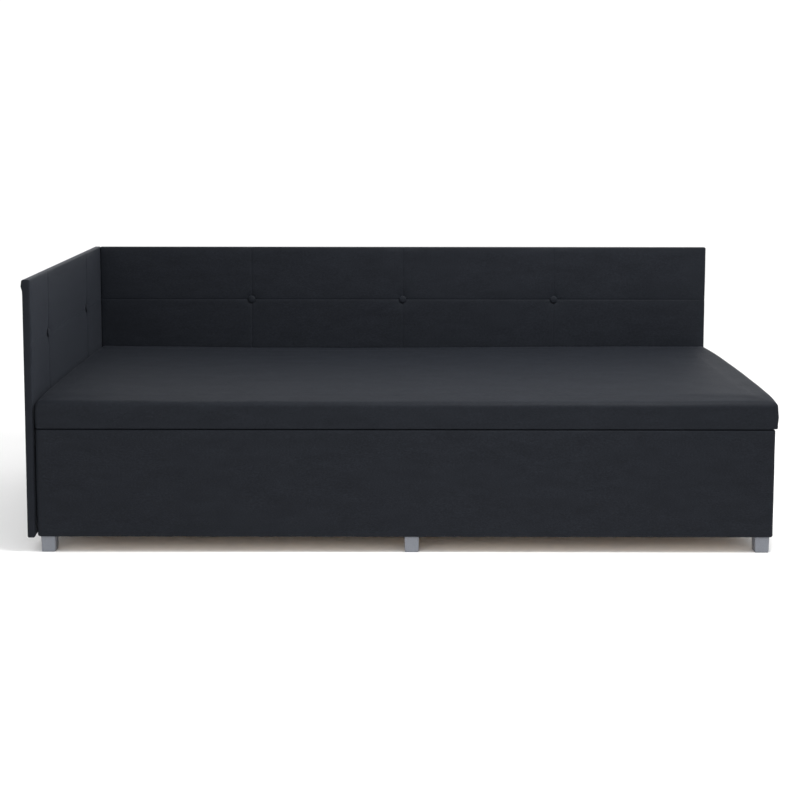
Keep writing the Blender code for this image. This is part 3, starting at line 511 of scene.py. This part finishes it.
def panel_slip(name, u_span, v_span, thickness, place, seams_u, seam_v, material):
    """The sewn slip of one panel. place turns (u, v, out) into the room, out being away from the face."""
    u_lines = grid_lines(*u_span, PANEL_ROLL, PANEL_STEP, seams_u)
    v_lines = grid_lines(*v_span, PANEL_ROLL, PANEL_STEP, (seam_v,))
    front, front_facing = padded_face(u_lines, v_lines, PANEL_ROLL, 2.0)
    rows, columns = front.shape[:2]
    rim = rim_order(rows, columns)
    flat = front.reshape(-1, 3)
    facing = front_facing.reshape(-1, 3)
    sides = 4
    parts, ways = [flat], [facing]
    for step in range(1, sides):
        wall = flat[rim].copy()
        wall[:, 2] = -PANEL_ROLL - (thickness - 2 * PANEL_ROLL) * step / sides
        parts.append(wall)
        ways.append(facing[rim])
    rear = flat.copy()
    rear[:, 2] = -thickness - flat[:, 2]
    parts.append(rear)
    ways.append(facing * (1, 1, -1))
    faces = grid_faces(rows, columns)
    loops = [rim]
    start = len(flat)
    for _ in range(sides - 1):
        loops.append(list(range(start, start + len(rim))))
        start += len(rim)
    faces += grid_faces(rows, columns, start)
    loops.append([start + index for index in rim])
    for first, second in zip(loops, loops[1:]):
        faces += join_loops(first, second)
    spots = np.concatenate(parts)
    ways = np.concatenate(ways)
    slip = mesh_piece(f"{name}_cover_velvet", [place(*spot) for spot in spots], faces, material, "base")
    off_seams = [np.abs(spots[:, 0] - seam) for seam in seams_u] + [np.abs(spots[:, 1] - seam_v)]
    at_seam = np.min(off_seams, axis=0) < 0.0012
    held = np.where((spots[:, 2] < -PANEL_ROLL * 1.01) | at_seam, 1.0, 0.0)
    swell(slip, held, PANEL_PRESSURE, PANEL_RISE)
    turned = np.array([place(*way) for way in ways]) - np.array(place(0, 0, 0))
    forward = np.clip(1 + spots[:, 2] / thickness * 1.6, 0, 1)
    dent = np.zeros(len(spots))
    for off in off_seams:
        dent = np.maximum(dent, SEAM_PULL * np.exp(-(off / SEAM_SPREAD) ** 2)
                          + SEAM_DEPTH * np.exp(-(off / STITCH_WIDTH) ** 2))
    for seam in seams_u:
        across, up = spots[:, 0] - seam, spots[:, 1] - seam_v
        away = np.hypot(across, up)
        creases = 1 + BUTTON_CREASES * np.cos(8 * np.arctan2(up, across)) * np.clip(away / 0.02, 0, 1)
        dent += BUTTON_PULL * np.exp(-(away / BUTTON_SPREAD) ** 1.6) * creases
    moved = points_of(slip.data)
    uneven = np.array([noise.noise(Vector((u * 4.0, v * 5.0, 3.0))) + 0.5 * noise.noise(
        Vector((u * 13.0, v * 13.0, 8.0))) for u, v, _ in spots])
    moved += turned * (forward * (PANEL_UNEVEN * uneven - dent))[:, None]
    place_points(slip.data, moved)
    return slip


back_low, back_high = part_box("back_cover")
side_low, side_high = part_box("side_cover")
back_seams = []
for number in (1, 2, 3):
    button_low, button_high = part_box(f"back_button_{number}")
    back_seams.append((button_low.x + button_high.x) / 2)
    seam_height = (button_low.z + button_high.z) / 2
side_seams = []
for number in (1, 2):
    button_low, button_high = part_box(f"side_button_{number}")
    side_seams.append((button_low.y + button_high.y) / 2)

back_slip = panel_slip("back", (back_low.x, back_high.x), (back_low.z, back_high.z),
                       back_high.y - back_low.y, lambda u, v, out: (u, back_low.y - out, v),
                       back_seams, seam_height, velvet_level)
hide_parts("back_cover", "back_foam")
side_slip = panel_slip("side", (side_low.y, side_high.y), (side_low.z, side_high.z),
                       side_high.x - side_low.x, lambda u, v, out: (side_high.x + out, u, v),
                       side_seams, seam_height, velvet_cross)
gathers = points_of(side_slip.data)
outer_face = np.clip((side_high.x - side_low.x) * 0.5 + side_low.x - gathers[:, 0], 0, 0.004) / 0.004
off_knot = np.hypot(gathers[:, 1] - side_low.y - KNOT_IN, gathers[:, 2] - side_high.z + KNOT_DOWN)
gathers[:, 0] -= KNOT_PROUD * outer_face * np.exp(-((off_knot / KNOT_REACH) ** 2))
off_fold = np.hypot(gathers[:, 1] - side_low.y, gathers[:, 2] - side_low.z)
gathers[:, 2] -= FOLD_DROOP * np.exp(-((off_fold / FOLD_REACH) ** 2))
place_points(side_slip.data, gathers)
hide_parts("side_cover", "side_foam")


# ---- Panel buttons ----------------------------------------------------------------------------------
# Metal shells covered in the panel's velvet, pulled in by twine to the panel board. The cloth gathers
# in fine pleats towards the back of each one, so that its rim isn't quite round.
PLEATS = 12
PLEAT_DEPTH = 0.022             # of the button's radius
BUTTON_SUNK = 0.0022            # the button's seat lies this far behind the panel's face


def covered_button(name, centre, out, side, radius, height, material):
    """out is the way the button faces, and side any way across it."""
    out, side = Vector(out), Vector(side)
    other = out.cross(side)
    profile = ((0.72, -0.25), (0.93, -0.05), (1.0, 0.20), (0.985, 0.42), (0.92, 0.63), (0.80, 0.79),
               (0.62, 0.91), (0.40, 0.98), (0.18, 1.0))
    around = 48
    points = []
    for reach, rise in profile:
        for step in range(around):
            angle = 2 * math.pi * step / around
            pleat = 1 + PLEAT_DEPTH * math.cos(PLEATS * angle) * max(0.0, 0.6 - rise)
            spot = centre + radius * reach * pleat * (math.cos(angle) * side + math.sin(angle) * other)
            points.append(spot + height * rise * out)
    points += [centre + height * 1.004 * out, centre - height * 0.25 * out]
    faces = ring_faces(len(profile), around)
    top, bottom = len(points) - 2, len(points) - 1
    last = (len(profile) - 1) * around
    for step in range(around):
        faces.append((last + step, last + (step + 1) % around, top))
        faces.append(((step + 1) % around, step, bottom))
    return mesh_piece(name, points, faces, material, "base")


for number in (1, 2, 3):
    low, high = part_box(f"back_button_{number}")
    seat = Vector(((low.x + high.x) / 2, high.y + BUTTON_SUNK, (low.z + high.z) / 2))
    button = covered_button(f"back_button_{number}_velvet", seat, (0, -1, 0), (1, 0, 0),
                            (high.x - low.x) / 2, high.y - low.y, velvet_level)
    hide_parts(f"back_button_{number}")
for number in (1, 2):
    low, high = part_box(f"side_button_{number}")
    seat = Vector((low.x - BUTTON_SUNK, (low.y + high.y) / 2, (low.z + high.z) / 2))
    button = covered_button(f"side_button_{number}_velvet", seat, (1, 0, 0), (0, 1, 0),
                            (high.y - low.y) / 2, high.x - low.x, velvet_cross)
    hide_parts(f"side_button_{number}")


# ---- Mattress lid: frame ----------------------------------------------------------------------------
# A glued frame of planed pine rails and three slats, with a hardboard sheet over it that carries the
# foam. It is bare inside, where the dust cloth hides it, and the brackets are screwed to its end rails.
dress(("lid_rail_front", "lid_rail_rear"), pine_along)
dress(("lid_rail_left", "lid_rail_right", "lid_slat_1", "lid_slat_2", "lid_slat_3"), pine_across)


# ---- Mattress cover ---------------------------------------------------------------------------------
# Graphite velvet over a foam block, pulled down the sides and stapled under the frame. The upper edges
# are soft and round, a seam runs down each corner, and the right-hand corners flare a little.
low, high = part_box("mattress_cover")
LID_ROLL = 0.018
LID_SQUARENESS = 4.4
LID_STEP = 0.013
LID_PRESSURE = 4.0
LID_RISE = 0.0016               # the most that the cover stands off its foam
LID_CLOTH = 0.0012
UNDER_ROLL = 0.0028
UNDER_TURNED = 0.0255           # under the long rails, as far as the dust cloth
END_TURNED = 0.0300             # under the end rails, to their inner edge
RIGHT_CROWN = 0.009             # the top rises towards its right end
LEFT_CROWN = 0.008              # and just beside the side panel
REAR_SAG = 0.006
FRONT_FALL = 0.005
TOP_UNEVEN = 0.0012
WALL_UNEVEN = 0.0011
END_OUT = 0.003                 # the right end bulges out this far, and by the next three besides
END_BOW = 0.007                 # between its corners
END_REAR = 0.003                # towards its rear corner
END_FRONT = 0.002               # beside its front corner
FLARE = 0.005                   # the right end stands out at its foot, most at the front corner
CORNER_SEAM = 0.0008
CORNER_SEAM_WIDTH = 0.0022
length, width = high.x - low.x, high.y - low.y
lid_height = high.z - low.z
u_lines = grid_lines(low.x, high.x, LID_ROLL, LID_STEP)
v_lines = grid_lines(low.y, high.y, LID_ROLL, LID_STEP)
top_points, _ = padded_face(u_lines, v_lines, LID_ROLL, LID_SQUARENESS)
rows, columns = top_points.shape[:2]
rim = rim_order(rows, columns)
flat = top_points.reshape(-1, 3)
middle = np.array(((low.x + high.x) / 2, (low.y + high.y) / 2))
half = np.array((length, width)) / 2
drops = [LID_ROLL + (lid_height - LID_ROLL - UNDER_ROLL) * step / 7 for step in range(1, 8)]
levels = [((0.0, 0.0), drop) for drop in drops]
for step in range(1, 4):
    angle = math.radians(90 * step / 3)
    inset = UNDER_ROLL * (1 - math.cos(angle))
    levels.append(((inset, inset), lid_height - UNDER_ROLL * (1 - math.sin(angle))))
for step in range(1, 4):
    levels.append(((UNDER_ROLL + (END_TURNED - UNDER_ROLL) * step / 3,
                    UNDER_ROLL + (UNDER_TURNED - UNDER_ROLL) * step / 3), lid_height))
parts, loops = [flat], [rim]
start = len(flat)
for inset, drop in levels:
    wall = flat[rim].copy()
    wall[:, :2] = middle + (wall[:, :2] - middle) * (half - inset) / half
    wall[:, 2] = -drop
    parts.append(wall)
    loops.append(list(range(start, start + len(rim))))
    start += len(rim)
spots = np.concatenate(parts)
faces = grid_faces(rows, columns)
for first, second in zip(loops, loops[1:]):
    faces += join_loops(first, second)
mattress = mesh_piece("mattress_cover_velvet", spots + (0, 0, high.z), faces, velvet_level, "lid")
held = np.clip((-spots[:, 2] - lid_height * 0.55) / (lid_height * 0.25), 0, 1)
swell(mattress, held, LID_PRESSURE, LID_RISE)
finer = mattress.modifiers.new("finer", "SUBSURF")
finer.levels = finer.render_levels = 1
smooth = bpy.data.meshes.new_from_object(mattress.evaluated_get(bpy.context.evaluated_depsgraph_get()))
mattress.modifiers.remove(finer)
mattress.data = smooth
points = points_of(smooth).astype(float)
drop = np.clip((high.z - points[:, 2]) / lid_height, 0, 1)
along = (points[:, 0] - low.x) / length
across = np.clip((points[:, 1] - low.y) / width, 0, 1)
# The top: risen at both ends, hollow at the rear, falling to the front edge and a little uneven.
on_top = np.clip(1 - drop * 3.2, 0, 1)
rear_sag = REAR_SAG * np.exp(-(((along - 0.38) / 0.24) ** 2)) * across ** 1.5
bow = np.sin(math.pi * across) ** 0.5
crown = (RIGHT_CROWN * np.clip((along - 0.7) / 0.3, 0, 1)
         + LEFT_CROWN * np.exp(-((along / 0.12) ** 2))) * bow
front_fall = FRONT_FALL * np.exp(-((across * width / 0.05) ** 2))
lift = crown - front_fall - rear_sag
ripple = np.array([noise.noise(Vector((x * 5.0, y * 7.0, 1.0))) + 0.45 * noise.noise(
    Vector((x * 15.0, y * 17.0, 5.0))) for x, y, _ in points])
points[:, 2] += on_top * (lift + TOP_UNEVEN * ripple)
# The walls: uneven outwards, with the right end bulging and flared and a seam down each corner.
rim_noise = np.array([noise.noise(Vector((x * 11.0, y * 11.0, z * 20.0))) for x, y, z in points])
on_wall = np.sin(math.pi * np.clip(drop, 0, 1)) ** 0.8 * (drop < 0.985)
at_front = (points[:, 1] < low.y + 0.004) | (points[:, 1] > high.y - 0.004)
at_end = (points[:, 0] < low.x + 0.004) | (points[:, 0] > high.x - 0.004)
outward_x = np.sign(points[:, 0] - middle[0]) * at_end
outward_y = np.sign(points[:, 1] - middle[1]) * at_front
points[:, 0] += outward_x * on_wall * WALL_UNEVEN * (0.5 + rim_noise)
end_reach = np.clip(1 - (high.x - points[:, 0]) / 0.06, 0, 1) ** 2
near_front = np.exp(-(((across - 0.1) / 0.2) ** 2))
reach = END_OUT + END_BOW * bow + END_REAR * across + END_FRONT * near_front
points[:, 0] += end_reach * reach * np.clip((1 - drop) / 0.4, 0.35, 1)
points[:, 1] += outward_y * on_wall * WALL_UNEVEN * (0.5 + rim_noise)
flare = np.clip((along - 0.985) / 0.015, 0, 1) * np.clip((drop - 0.25) / 0.75, 0, 1) ** 1.3
points[:, 0] += FLARE * flare * np.exp(-(((across - 0.02) / 0.22) ** 2))
corner_x = half[0] - np.abs(points[:, 0] - middle[0])
corner_y = half[1] - np.abs(points[:, 1] - middle[1])
off_seam = np.abs(corner_x - corner_y)
near_corner = (corner_x + corner_y < 0.022) * np.clip((drop - 0.16) / 0.1, 0, 1)
seam = near_corner * CORNER_SEAM * np.exp(-((off_seam / CORNER_SEAM_WIDTH) ** 2))
points[:, 0] -= np.sign(points[:, 0] - middle[0]) * seam
points[:, 1] -= np.sign(points[:, 1] - middle[1]) * seam
place_points(smooth, points)
cloth = mattress.modifiers.new("cloth thickness", "SOLIDIFY")
cloth.thickness = LID_CLOTH
cloth.offset = -1.0
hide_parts("mattress_cover", "mattress_foam")


# ---- Dust cloth and its staples -----------------------------------------------------------------------
# A sheet of black spunbond under the lid, stapled to the frame all round over the velvet's cut edge. It
# hangs a little slack between the slats.
dust = finish("black_spunbond", (0.018, 0.018, 0.019), 0.8)
fibres = node(dust, "TexVoronoi", {"Vector": surface_place(dust, (1, 1, 1)), "Scale": 420.0})
tones(dust, fibres, (0.2, (0.010, 0.010, 0.011)), (0.8, (0.034, 0.034, 0.036)))
gloss_range(dust, fibres, 0.6, 0.9)
relief(dust, fibres, 0.0003)

low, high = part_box("lid_dust_cloth")
CLOTH_SAG = 0.004
CLOTH_WRINKLE = 0.0012
CLOTH_MIDDLE = 0.0004           # of its thickness, above the solid's lower face
steps_x, steps_y = 150, 66
points = []
for i in range(steps_x + 1):
    for j in range(steps_y + 1):
        x = low.x + (high.x - low.x) * i / steps_x
        y = low.y + (high.y - low.y) * j / steps_y
        span = abs(math.sin(math.pi * 4 * i / steps_x)) ** 0.7 * math.sin(math.pi * j / steps_y) ** 0.5
        wrinkle = noise.noise(Vector((x * 9, y * 9, 2.0))) + 0.4 * noise.noise(Vector((x * 31, y * 31, 6.0)))
        points.append((x, y, low.z - span * (CLOTH_SAG + CLOTH_WRINKLE * wrinkle) + CLOTH_MIDDLE))
dust_cloth = mesh_piece("lid_dust_cloth_sheet", points, grid_faces(steps_x + 1, steps_y + 1), dust, "lid")
cloth = dust_cloth.modifiers.new("cloth thickness", "SOLIDIFY")
cloth.thickness = 0.0005
cloth.offset = 0.0
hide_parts("lid_dust_cloth")

STAPLE_SPACING = 0.055
STAPLE_LONG = 0.0100
STAPLE_WIRE = 0.0011
STAPLE_PROUD = 0.0007
STAPLE_INSET = 0.006            # from the cloth's edge
STAPLE_ASKEW = 9                # degrees
bright_wire = finish("staple_wire", (0.62, 0.60, 0.56), 0.35, 1.0)
rubbed = node(bright_wire, "TexNoise", {"Vector": surface_place(bright_wire, (1, 1, 1)), "Scale": 900.0})
tones(bright_wire, rubbed, (0.3, (0.45, 0.43, 0.40)), (0.7, (0.70, 0.68, 0.64)))
gloss_range(bright_wire, rubbed, 0.28, 0.5)
xs = (low.x + STAPLE_INSET, high.x - STAPLE_INSET)
ys = (low.y + STAPLE_INSET, high.y - STAPLE_INSET)
places = []
for start, end, tilt in (((xs[0], ys[0]), (xs[1], ys[0]), 0), ((xs[0], ys[1]), (xs[1], ys[1]), 0),
                         ((xs[0], ys[0]), (xs[0], ys[1]), 90), ((xs[1], ys[0]), (xs[1], ys[1]), 90)):
    start, end = Vector(start), Vector(end)
    steps = round((end - start).length / STAPLE_SPACING)
    for step in range(1, steps):
        askew = tilt + STAPLE_ASKEW * math.sin(step * 2.7 + tilt)
        places.append((start.lerp(end, step / steps), math.radians(askew)))
wires = bmesh.new()
for spot, askew in places:
    made = bmesh.ops.create_cone(wires, cap_ends=True, segments=8, radius1=STAPLE_WIRE / 2,
                                 radius2=STAPLE_WIRE / 2, depth=STAPLE_LONG)["verts"]
    turn = Matrix.Rotation(askew, 4, "Z") @ Matrix.Rotation(math.radians(90), 4, "Y")
    bmesh.ops.transform(wires, verts=made, matrix=Matrix.Translation(
        (spot.x, spot.y, low.z - STAPLE_PROUD + STAPLE_WIRE / 2)) @ turn)
mesh = bpy.data.meshes.new("lid_staples")
wires.to_mesh(mesh)
wires.free()
mesh.shade_smooth()
mesh.set_sharp_from_angle(angle=math.radians(40))
mesh.materials.append(bright_wire)
staples = bpy.data.objects.new("lid_staples", mesh)
scene.collection.objects.link(staples)
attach(staples, "lid")


# ---- Lifts ------------------------------------------------------------------------------------------
# At each box end a zinc-plated plate, two flat arms and a bracket carry the lid, and a gas strut pushes
# the front arm up: a black enamelled tube and a ground chrome rod. Countersunk screws hold the plates.
def zinc_finish(name):
    made = finish(name, (0.56, 0.57, 0.59), 0.36, 1.0)
    spangle = node(made, "TexVoronoi", {"Vector": surface_place(made, (1, 1, 1)), "Scale": 170.0})
    rolled = node(made, "TexNoise", {"Vector": surface_place(made, (60, 60, 900)), "Scale": 1.0,
                                     "Detail": 3.0})
    mixed = node(made, "Math", {0: spangle, 1: 0.7, 2: rolled}, operation="MULTIPLY_ADD")
    tones(made, mixed, (0.3, (0.46, 0.47, 0.50)), (0.95, (0.66, 0.66, 0.67)))
    gloss_range(made, mixed, 0.27, 0.46)
    relief(made, rolled, 0.00006)
    return made


zinc = zinc_finish("zinc_plated_steel")
enamel = finish("black_enamel", (0.013, 0.013, 0.014), 0.30, Coat_Weight=0.35, Coat_Roughness=0.12)
orange_peel = node(enamel, "TexNoise", {"Vector": surface_place(enamel, (1, 1, 1)), "Scale": 700.0})
tones(enamel, orange_peel, (0.3, (0.010, 0.010, 0.011)), (0.7, (0.019, 0.019, 0.020)))
gloss_range(enamel, orange_peel, 0.24, 0.38)
relief(enamel, orange_peel, 0.00008)
chrome = finish("ground_chrome", (0.80, 0.80, 0.82), 0.10, 1.0)
ground = node(chrome, "TexNoise", {"Vector": surface_place(chrome, (1, 1, 1)), "Scale": 2200.0})
tones(chrome, ground, (0.3, (0.72, 0.72, 0.74)), (0.7, (0.86, 0.86, 0.87)))
gloss_range(chrome, ground, 0.07, 0.15)
for end in ("left", "right"):
    dress((f"lift_plate_{end}", f"rear_arm_{end}", f"front_arm_{end}", f"lid_bracket_{end}"), zinc)
    dress((f"gas_cylinder_{end}",), enamel)
    dress((f"gas_rod_{end}",), chrome)

SCREW_RADIUS = 0.0038
SCREW_PROUD = 0.0008
RECESS_REACH = 0.0021
RECESS_WIDE = 0.0008
RECESS_FLOOR = 0.0002           # below the screw's seat
RECESS_NARROWS = 0.7


def screw_head(shape, centre, way):
    """A low head facing along X, with a cross pressed into it."""
    around = 24
    rings = []
    for reach, rise in ((1.0, -0.0006), (1.0, SCREW_PROUD * 0.45), (0.90, SCREW_PROUD * 0.85),
                        (0.72, SCREW_PROUD)):
        ring = []
        for step in range(around):
            angle = 2 * math.pi * (step + 0.5) / around
            ring.append(shape.verts.new((centre[0] + way * rise,
                                         centre[1] + SCREW_RADIUS * reach * math.cos(angle),
                                         centre[2] + SCREW_RADIUS * reach * math.sin(angle))))
        rings.append(ring)
    cross = []
    for step in range(8):
        angle = math.radians(45 * step)
        wide = step % 2
        reach = RECESS_WIDE * 1.1 if wide else RECESS_REACH
        spread = 0 if wide else RECESS_WIDE / 2
        for side in ((-1, 1) if not wide else (0,)):
            cross.append((centre[1] + reach * math.cos(angle) - side * spread * math.sin(angle),
                          centre[2] + reach * math.sin(angle) + side * spread * math.cos(angle)))
    brim = [shape.verts.new((centre[0] + way * SCREW_PROUD, y, z)) for y, z in cross]
    floor = [shape.verts.new((centre[0] - way * RECESS_FLOOR,
                              centre[1] + (y - centre[1]) * RECESS_NARROWS,
                              centre[2] + (z - centre[2]) * RECESS_NARROWS)) for y, z in cross]
    for lower, upper in zip(rings, rings[1:]):
        for i in range(around):
            j = (i + 1) % around
            shape.faces.new((lower[i], lower[j], upper[j], upper[i]))
    shape.faces.new(rings[0])
    for i in range(len(brim)):
        j = (i + 1) % len(brim)
        shape.faces.new((brim[i], brim[j], floor[j], floor[i]))
        shape.faces.new((rings[-1][2 * i], rings[-1][2 * i + 1], brim[i]))
        shape.faces.new((rings[-1][2 * i + 1], rings[-1][(2 * i + 2) % around], brim[j], brim[i]))
    shape.faces.new(floor)


def screws(name, places, way, body):
    shape = bmesh.new()
    for centre in places:
        screw_head(shape, centre, way)
    bmesh.ops.recalc_face_normals(shape, faces=shape.faces)
    mesh = bpy.data.meshes.new(name)
    shape.to_mesh(mesh)
    shape.free()
    mesh.shade_smooth()
    mesh.set_sharp_from_angle(angle=math.radians(35))
    mesh.materials.append(zinc)
    piece = bpy.data.objects.new(name, mesh)
    scene.collection.objects.link(piece)
    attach(piece, body)


PLATE_THICKNESS = 0.003
BRACKET_GAP = 0.0003            # between the bracket and its rail
BRACKET_SCREWS_DOWN = 0.009     # below the bracket's upper edge
for end, way in (("left", 1), ("right", -1)):
    low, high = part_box(f"lift_plate_{end}")
    face = low.x + PLATE_THICKNESS if way == 1 else high.x - PLATE_THICKNESS
    width, tall = high.y - low.y, high.z - low.z
    places = [(face, low.y + width * across, low.z + tall * up)
              for across, up in ((0.20, 0.32), (0.50, 0.20), (0.50, 0.58), (0.78, 0.66), (0.80, 0.28))]
    screws(f"lift_plate_screws_{end}", places, way, "base")
    low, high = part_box(f"lid_bracket_{end}")
    rail_low, rail_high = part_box(f"lid_rail_{end}")
    face = rail_high.x + BRACKET_GAP + PLATE_THICKNESS if way == 1 \
        else rail_low.x - BRACKET_GAP - PLATE_THICKNESS
    width = high.y - low.y
    places = [(face, low.y + width * across, high.z - BRACKET_SCREWS_DOWN)
              for across in (0.12, 0.38, 0.62, 0.88)]
    screws(f"lid_bracket_screws_{end}", places, way, "lid")


# ---- Panel bolts --------------------------------------------------------------------------------------
# Two zinc-plated furniture bolts hold each panel, put in from inside the box. The side panel's stand off
# on spacer sleeves, which keep it clear of the mattress.
dress(("back_bolt_1", "back_bolt_2", "side_bolt_1", "side_bolt_2"), zinc)


# ---- Studio -------------------------------------------------------------------------------------------
# A pale seamless floor under a white sky, with one broad soft light from above and to the right and a
# weak one from the front. The camera stands a little over three and a half metres off, at chest height.
floor_paint = finish("studio_floor", (0.92, 0.92, 0.92), 0.75)
dusting = node(floor_paint, "TexNoise", {"Vector": surface_place(floor_paint, (1, 1, 1)), "Scale": 3.0,
                                         "Detail": 4.0})
tones(floor_paint, dusting, (0.3, (0.915, 0.915, 0.915)), (0.7, (0.93, 0.93, 0.93)))
FLOOR_REACH = 30.0
floor_mesh = bpy.data.meshes.new("studio_floor")
floor_mesh.from_pydata([(-FLOOR_REACH, -FLOOR_REACH, 0), (FLOOR_REACH, -FLOOR_REACH, 0),
                        (FLOOR_REACH, FLOOR_REACH, 0), (-FLOOR_REACH, FLOOR_REACH, 0)], [], [(0, 1, 2, 3)])
floor_mesh.materials.append(floor_paint)
studio_floor = bpy.data.objects.new("studio_floor", floor_mesh)
scene.collection.objects.link(studio_floor)

sky = bpy.data.worlds.new("white_sky")
sky.use_nodes = True
sky.node_tree.nodes["Background"].inputs["Color"].default_value = (1.0, 1.0, 1.0, 1.0)
sky.node_tree.nodes["Background"].inputs["Strength"].default_value = 1.1
scene.world = sky


def soft_light(name, place, target, size, power):
    lamp = bpy.data.lights.new(name, "AREA")
    lamp.shape = "RECTANGLE"
    lamp.size, lamp.size_y = size
    lamp.energy = power
    made = bpy.data.objects.new(name, lamp)
    scene.collection.objects.link(made)
    made.location = place
    aim = Vector(target) - Vector(place)
    made.rotation_euler = aim.to_track_quat("-Z", "Y").to_euler()


soft_light("overhead_light", (0.85, -0.85, 2.05), (-0.8, 0.0, 0.6), (0.9, 0.7), 65.0)
soft_light("front_light", (-1.2, -4.2, 1.8), (-0.2, 0.0, 0.2), (2.6, 1.6), 22.0)

FOCAL_IN_FRAMES = 1.77          # focal length over the frame's width
CAMERA_DOWN = 5.375             # degrees
CAMERA_TURNED = 0.089
CAMERA_ROLLED = 0.052
view = bpy.data.cameras.new("camera")
view.sensor_width = 36.0
view.lens = FOCAL_IN_FRAMES * view.sensor_width
view.shift_x = 0.0166
view.shift_y = -0.1927
view.clip_start, view.clip_end = 0.1, 100.0
camera = bpy.data.objects.new("camera", view)
scene.collection.objects.link(camera)
camera.location = (-0.0358, -4.2294, 1.193)
camera.matrix_world = (Matrix.Translation(camera.location)
                       @ Matrix.Rotation(math.radians(CAMERA_TURNED), 4, "Z")
                       @ Matrix.Rotation(math.radians(90 - CAMERA_DOWN), 4, "X")
                       @ Matrix.Rotation(math.radians(CAMERA_ROLLED), 4, "Z"))
scene.camera = camera
scene.view_settings.view_transform = "Standard"
scene.view_settings.look = "None"
